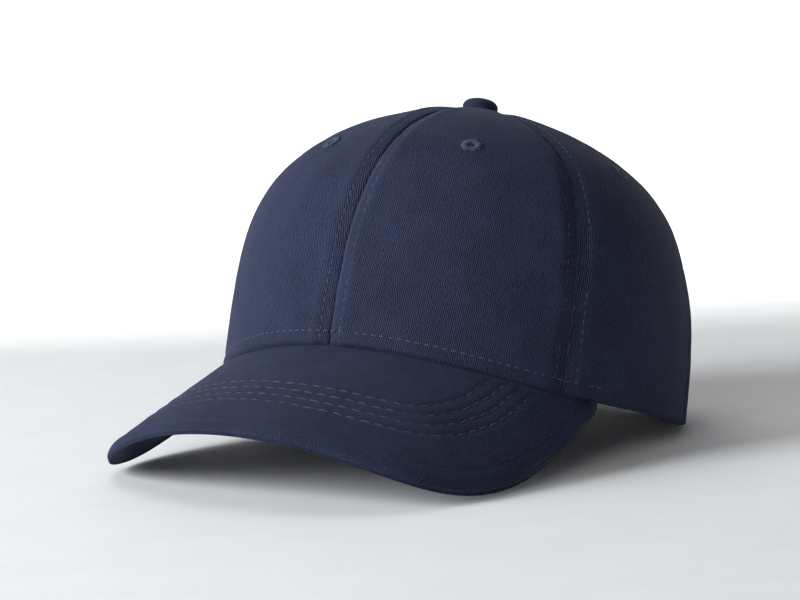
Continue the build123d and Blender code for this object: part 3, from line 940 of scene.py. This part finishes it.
front_half = seam_path(0, seam_foot(0) + 0.02, TOP_SHARE)
back_half = seam_path(180, (OPENING_TOP_Z + 8.5) / CROWN_HEIGHT, TOP_SHARE)
rows = make_tape("centre_seam_tape", np.concatenate([front_half, back_half[::-1]]), 71)
for side, sign in SIDES:
    for place_name, seam in (("side", SIDE_SEAM), ("back", BACK_SEAM)):
        path = seam_path(sign * seam, seam_foot(sign * seam) + 0.02, 0.965)
        rows += make_tape(f"{place_name}_seam_tape_{side}", path, 72 + int(seam))
sew("seam_tape_stitches", rows, radius=0.26)


def make_buckram(side, start, end):
    """Stiff gauze behind a front panel."""
    angle = np.linspace(start + 1.3, end - 1.3, 40)[None]
    share = np.linspace(0.14, 0.9, 60)[:, None]
    angle, share = np.broadcast_arrays(angle, share)
    lumps = 0.12 * ripple(angle, share * 90, 17.0, 81)[..., None]
    normals = crown_normal(angle, share)
    outer = crown(angle, share, 1.0) + normals * 0.02
    inner = crown(angle, share, 1.6) + normals * lumps
    away = reach(angle, share)
    fabric = np.stack([np.radians(angle - (start + end) / 2) * away, share * 150], -1)
    piece = shell(f"buckram_{side}_gauze", outer, inner, fabric, buckram_cloth)
    return place(piece, "buckram", "crown", f"buckram_{side}")


for side, sign in SIDES:
    make_buckram(side, *sorted((0, sign * SIDE_SEAM)))


def make_sweatband():
    """A folded band that hangs inside the hem, its lower edge rolled out to be sewn to it."""
    columns, rows = 330, 40
    end = 180 - math.degrees(math.asin(OPENING_HALF_WIDTH / (HEM_RADIUS - 2.0)))
    turn = np.linspace(-end, end, columns)
    x = HEM_RADIUS * np.sin(np.radians(turn))
    y = -HEM_RADIUS * np.cos(np.radians(turn))
    low = hem_z(x, y)
    angle = np.degrees(np.arctan2(x, APEX_Y - y))
    t = np.linspace(0, 1, rows)[:, None]
    z = low[None] + 0.9 + (SWEATBAND_TOP - low[None] - 0.9) * t
    share = z / CROWN_HEIGHT
    angle = np.broadcast_to(angle[None], share.shape)
    up = z - low[None]
    depth = 1.7 + 3.6 * smooth_step(up, 0, 7) - 1.6 * smooth_step(t, 0.55, 1)
    by_strap = smooth_step(np.abs(turn), 112, 124)[None]
    depth = depth + (5.3 - depth) * by_strap
    sag = 0.35 * ripple(angle * DEGREE, z, 34.0, 91) * np.sin(np.pi * t)
    row = 0.3 * bell(up, 4.0, 0.7) + 0.3 * bell(SWEATBAND_TOP - z, 3.0, 0.7)
    face = crown(angle, share, 0) - crown_normal(angle, share) * (depth + 1.0 + sag - row)[..., None]
    back = crown(angle, share, 0) - crown_normal(angle, share) * (depth + sag - 0.1)[..., None]
    fabric = np.stack([angle * DEGREE, z], -1)
    piece = shell("sweatband_cloth", face[:, ::-1], back[:, ::-1], fabric[:, ::-1], lining_twill)
    place(piece, "sweatband_cotton", "crown", "sweatband")
    inward = -crown_normal(angle, share)
    return [(face[level], inward[level], FINE_PITCH, 0.74) for level in (4, rows - 4)]


sew("sweatband_stitches", make_sweatband(), radius=0.28)


# ---- closure


def polish(node, name, material, slot, body, width):
    """A copy of a CAD piece with its sharp edges rounded off."""
    mesh = frame["nodes"][node].data.copy()
    soft = bmesh.new()
    soft.from_mesh(mesh)
    bmesh.ops.remove_doubles(soft, verts=soft.verts, dist=1e-6)
    bmesh.ops.dissolve_limit(soft, angle_limit=math.radians(2), verts=soft.verts, edges=soft.edges)
    folded = math.radians(35)
    sharp = [edge for edge in soft.edges if len(edge.link_faces) == 2 and edge.calc_face_angle(0) > folded]
    bmesh.ops.bevel(soft, geom=sharp, offset=width / 1000, segments=2, profile=0.5, affect="EDGES",
                    clamp_overlap=True)
    bmesh.ops.triangulate(soft, faces=[face for face in soft.faces if len(face.verts) > 4])
    soft.to_mesh(mesh)
    soft.free()
    mesh.materials.clear()
    mesh.materials.append(material)
    mesh.polygons.foreach_set("use_smooth", np.full(len(mesh.polygons), True))
    return place(link_object(name, mesh), slot, body, node)


STRAP_LOW_Z = 17.5
STRAP_WIDTH = 20.0
STRAP_DEPTH = 2.05
STRAP_ENDS = (-41.0, 42.5)
STRAP_STITCH = 7.8  # from the strap's middle to its stitch rows
LOOP_HALF_WIDTH = 9.5


def strap_radius(z):
    corner = 180 - math.degrees(math.atan2(OPENING_HALF_WIDTH, HEM_RADIUS))
    wall = crown(corner, z / CROWN_HEIGHT)
    return math.hypot(wall[0], wall[1]) - STRAP_DEPTH


def closure(angle, outward, upward):
    """Crown-frame points from an angle round the back, a distance out of the strap and one up its width."""
    low, high = strap_radius(STRAP_LOW_Z), strap_radius(STRAP_LOW_Z + STRAP_WIDTH)
    lean = math.atan2(low - high, STRAP_WIDTH)
    angle, outward, upward = np.broadcast_arrays(np.radians(angle), outward, upward)
    away = (low + high) / 2 + outward * math.cos(lean) - upward * math.sin(lean)
    z = STRAP_LOW_Z + STRAP_WIDTH / 2 + outward * math.sin(lean) + upward * math.cos(lean)
    return np.stack([away * np.sin(angle), away * np.cos(angle), z], -1)


def make_strap():
    """A strap of folded twill, sewn along both edges."""
    angle = np.linspace(*STRAP_ENDS, 150)[None]
    t = np.linspace(-1, 1, 31)[:, None]
    half = STRAP_WIDTH / 2
    edge = 0.45 * (1 - np.sqrt(np.clip(1 - np.clip((np.abs(t) - 0.93) / 0.07, 0, 1) ** 2, 0, 1)))
    edge = edge + 0 * angle
    row = 0.16 * bell(np.abs(t) * half, STRAP_STITCH, 0.6)
    waves = 0.05 * ripple(angle * DEGREE, t * half, 12.0, 101)
    outer = closure(angle, -edge - row + waves, t * half)
    inner = closure(angle, edge + row * 0.8 + waves - 0.98, t * half)
    fabric = np.stack(np.broadcast_arrays(angle * DEGREE, t * half), -1)
    piece = shell("strap_cloth", outer[::-1], inner[::-1], fabric[::-1], twill["left"])
    place(piece, "twill", "strap", "strap")
    rows = []
    out = closure(angle[0], 1.0, 0) - closure(angle[0], 0.0, 0)
    for level in (-STRAP_STITCH, STRAP_STITCH):
        rows.append((closure(angle[0], -0.12, level), out, FINE_PITCH, 0.76))
        rows.append((closure(angle[0], -0.88, level), -out, FINE_PITCH, 0.76))
    sew("strap_stitches", rows, "strap", radius=0.24, sink=0.14)


make_strap()


def make_loop():
    """The tape that ties the buckle down: out from behind the panel, round the slot's bar and back."""
    route = [(37.0, -1.65), (33.0, -1.65), (28.0, -1.65), (23.5, -1.65), (21.2, -1.68), (20.65, -1.9),
             (20.5, -2.4), (20.65, -2.95), (21.2, -3.22), (23.0, -3.25), (25.2, -3.25)]
    spread, out = resample(route, 60)
    flat = np.stack([spread * DEGREE, out], -1)
    ahead = unit(np.gradient(flat, axis=0))
    normal = np.stack([-ahead[:, 1], ahead[:, 0]], -1)
    t = np.linspace(-1, 1, 15)[:, None]
    sides = []
    for thick in (-0.27, 0.27):
        shifted = flat + normal * thick
        sides.append(closure(shifted[None, :, 0] / DEGREE, shifted[None, :, 1], t * LOOP_HALF_WIDTH))
    fabric = np.stack(np.broadcast_arrays(t * LOOP_HALF_WIDTH, run_length(flat)[None]), -1)
    piece = shell("buckle_loop_cloth", sides[0], sides[1], fabric, tape_cloth)
    return place(piece, "cotton_tape", "crown", "buckle_loop")


def make_facing():
    """The strip that hems the back opening, sewn down with two rows."""
    turn = np.radians(np.linspace(0, 180, 200))[None]
    margin = np.linspace(0.5, 8.0, 16)[:, None]
    angle, share = opening_arch(turn, margin)
    dents = sum(0.2 * bell(margin, row, 0.6) for row in OPENING_ROWS)
    normals = crown_normal(angle, share)
    inner = crown(angle, share) - normals * (1.75 - dents)[..., None]
    outer = crown(angle, share) - normals * 1.1
    fabric = np.stack(np.broadcast_arrays(margin, np.degrees(turn) * 1.1), -1)
    piece = shell("back_opening_facing_cloth", inner, outer, fabric, tape_cloth)
    return place(piece, "twill", "crown", "back_opening_facing")


make_loop()
make_facing()
polish("buckle_base", "buckle_base_plate", brass, "brass", "crown", 0.12)
polish("buckle_pin", "buckle_pin_rod", brass, "brass", "crown", 0.12)
polish("buckle_lever", "buckle_lever_plate", brass, "brass", "buckle_lever", 0.15)

for node, material in (("button_shell", steel), ("button_rivet", steel), ("button_washer", steel),
                       ("visor_board", board)):
    mesh = frame["nodes"][node].data
    mesh.materials.clear()
    mesh.materials.append(material)


# ---- floor, light and camera


def make_floor():
    """A pale floor that sweeps up into a backdrop behind the cap."""
    n = Nodes("pale_floor")
    speckle = n.noise(n.position(), 30.0, 4.0)
    n.surface({"Base Color": n.ramp(speckle, (0.3, (0.9, 0.9, 0.9)), (0.7, (0.93, 0.93, 0.93))),
               "Roughness": 0.85})
    mesh = bpy.data.meshes.new("floor")
    heading = math.radians(VIEW_AZIMUTH)
    back = Vector((-math.sin(heading), math.cos(heading), 0))
    side = Vector((math.cos(heading), math.sin(heading), 0))
    bend = [(-6.0, 0.0), (2.0, 0.0)]
    for turn in range(6, 91, 6):
        bend.append((2.0 + 1.5 * math.sin(math.radians(turn)), 1.5 - 1.5 * math.cos(math.radians(turn))))
    bend.append((3.5, 7.0))
    points = [back * along + side * across + Vector((0, 0, up)) for along, up in bend for across in (-7, 7)]
    faces = [(2 * i, 2 * i + 1, 2 * i + 3, 2 * i + 2) for i in range(len(bend) - 1)]
    mesh.from_pydata(points, [], faces)
    mesh.polygons.foreach_set("use_smooth", np.full(len(faces), True))
    mesh.materials.append(n.material)
    floor = link_object("floor", mesh)


heading, tilt, roll = (math.radians(v) for v in (VIEW_AZIMUTH, VIEW_ELEVATION, VIEW_ROLL))
view_back = Vector((math.sin(heading) * math.cos(tilt), -math.cos(heading) * math.cos(tilt), math.sin(tilt)))
level = Vector((math.cos(heading), math.sin(heading), 0))
rise = view_back.cross(level)
view_right = level * math.cos(roll) + rise * math.sin(roll)
view_up = rise * math.cos(roll) - level * math.sin(roll)


def make_camera():
    data = bpy.data.cameras.new("camera")
    data.lens = VIEW_FOCAL * data.sensor_width
    data.clip_end = 50
    camera = link_object("camera", data)
    aside = Vector((*VIEW_ASIDE, -VIEW_FOCAL)).normalized()
    turn = aside.rotation_difference(Vector((0, 0, -1))).to_matrix()
    axes = Matrix((view_right, view_up, view_back)).transposed()
    place_at = Matrix.Translation(VIEW_TARGET + view_back * VIEW_DISTANCE)
    camera.matrix_world = place_at @ (axes @ turn).to_4x4()
    bpy.context.scene.camera = camera


def make_lamp(name, location, toward, size, power, colour=(1, 1, 1)):
    """A square soft lamp."""
    data = bpy.data.lights.new(name, "AREA")
    data.size = size
    data.energy = power
    data.color = colour
    lamp = link_object(name, data)
    lamp.location = location
    lamp.rotation_mode = "QUATERNION"
    lamp.rotation_quaternion = toward.to_track_quat("-Z", "Y")


def make_light(name, right, up, back, distance, *lamp):
    """A lamp aimed at the cap from a direction of the photograph's view."""
    direction = (view_right * right + view_up * up + view_back * back).normalized()
    make_lamp(name, VIEW_TARGET + direction * distance, -direction, *lamp)


def make_world():
    world = bpy.data.worlds.new("studio")
    world.use_nodes = True
    background = world.node_tree.nodes["Background"]
    background.inputs["Color"].default_value = (0.95, 0.97, 1.0, 1)
    background.inputs["Strength"].default_value = 0.1
    bpy.context.scene.world = world


make_floor()
make_camera()
make_world()
make_light("key_light", -0.88, 0.28, 0.4, 1.9, 0.9, 43, (0.93, 0.97, 1.0))
make_light("front_light", -0.35, 0.2, 0.9, 2.2, 1.2, 12)
make_light("top_light", -0.4, 1.0, -0.3, 2.2, 1.4, 10)
make_light("rim_light", 0.9, 0.15, -0.8, 1.8, 0.7, 3)
# Stands behind the cap, so that it whitens the backdrop alone
make_lamp("backdrop_light", VIEW_TARGET - view_back * 0.95 + Vector((0, 0, 1.25)),
          (-view_back + Vector((0, 0, -0.45))).normalized(), 2.0, 55)
bpy.context.scene.view_settings.view_transform = "Standard"
